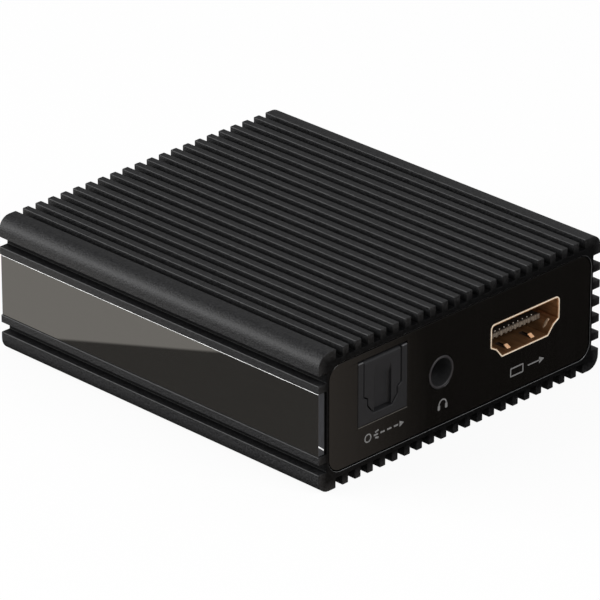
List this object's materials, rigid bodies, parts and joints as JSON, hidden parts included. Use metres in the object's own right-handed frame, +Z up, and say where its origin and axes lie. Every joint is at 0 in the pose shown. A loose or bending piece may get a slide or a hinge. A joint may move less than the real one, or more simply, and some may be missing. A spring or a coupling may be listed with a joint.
{
  "type": "hdmi audio extractor",
  "caption": "Flat ribbed aluminium box that takes the sound out of a video cable, with video, optical and headphone sockets, a power inlet and a mode switch.",
  "frame": {"origin": "middle of the underside, on the surface that the box rests on", "axes": "+X across the sockets with the optical socket on the -X side, +Y from the output end to the input end along the ribs, +Z up"},
  "size_m": [0.06, 0.068, 0.0223],
  "materials": {
    "black_anodised": "fine bead-blasted black anodise",
    "gloss_strip": "mirror gloss black",
    "gloss_panel": "warm black gloss",
    "adhesive": "black foam tape",
    "plate_metal": "black anodise",
    "screw_steel": "plated steel",
    "board_laminate": "green solder mask",
    "gold_shell": "gold-flashed sheet",
    "socket_black": "moulded",
    "contact_gold": "gold-plated contacts",
    "optical_plastic": "moulded, fine texture",
    "emitter_red": "tinted moulding",
    "collar_plastic": "moulded",
    "spring_bronze": "bronze strip",
    "pin_steel": "ground steel",
    "tin_plate": "tinned",
    "can_steel": "folded tinplate",
    "light_lens": "clear green lens",
    "chip_black": "moulded epoxy",
    "crystal_can": "pressed can",
    "ferrite": "ferrite",
    "capacitor_can": "bare aluminium can",
    "ceramic": "fired ceramic"
  },
  "bodies": {
    "box": {"housing": "black_anodised", "side_inlay": "gloss_strip", "inlay_tape": "adhesive", "front_plate": "plate_metal", "front_overlay": "gloss_panel", "front_screws": "screw_steel", "rear_plate": "plate_metal", "rear_overlay": "gloss_panel", "rear_screws": "screw_steel", "main_board": "board_laminate", "video_out_shell": "gold_shell", "video_out_tongue": "socket_black", "video_out_contacts": "contact_gold", "video_in_shell": "gold_shell", "video_in_tongue": "socket_black", "video_in_contacts": "contact_gold", "optical_body": "optical_plastic", "shutter_pin": "pin_steel", "shutter_spring": "spring_bronze", "optical_emitter": "emitter_red", "headphone_body": "socket_black", "headphone_collar": "collar_plastic", "headphone_contacts": "tin_plate", "power_inlet_body": "socket_black", "power_inlet_pin": "pin_steel", "power_inlet_tails": "tin_plate", "mode_switch_can": "can_steel", "status_light": "light_lens", "light_holder": "socket_black", "main_chip": "chip_black", "sound_chip": "chip_black", "memory_chip": "chip_black", "clock_crystal": "crystal_can", "regulators": "chip_black", "power_inductor": "ferrite", "storage_capacitors": "capacitor_can", "board_passives": "ceramic", "surge_arrays": "chip_black"},
    "shutter": {"optical_shutter": "optical_plastic"},
    "mode_slider": {"mode_switch_slider": "collar_plastic"}
  },
  "joints": [
    {"name": "shutter_hinge", "type": "hinge", "parent": "box", "child": "shutter", "pos_m": [-0.01675, -0.03335, 0.01764], "axis": [1, 0, 0], "range_deg": [0, 82], "stiffness_Nm_per_rad": 0.00012, "springref_deg": -20.05},
    {"name": "mode_slide", "type": "slide", "parent": "box", "child": "mode_slider", "axis": [1, 0, 0], "range_m": [-0.002, 0.002]}
  ]
}
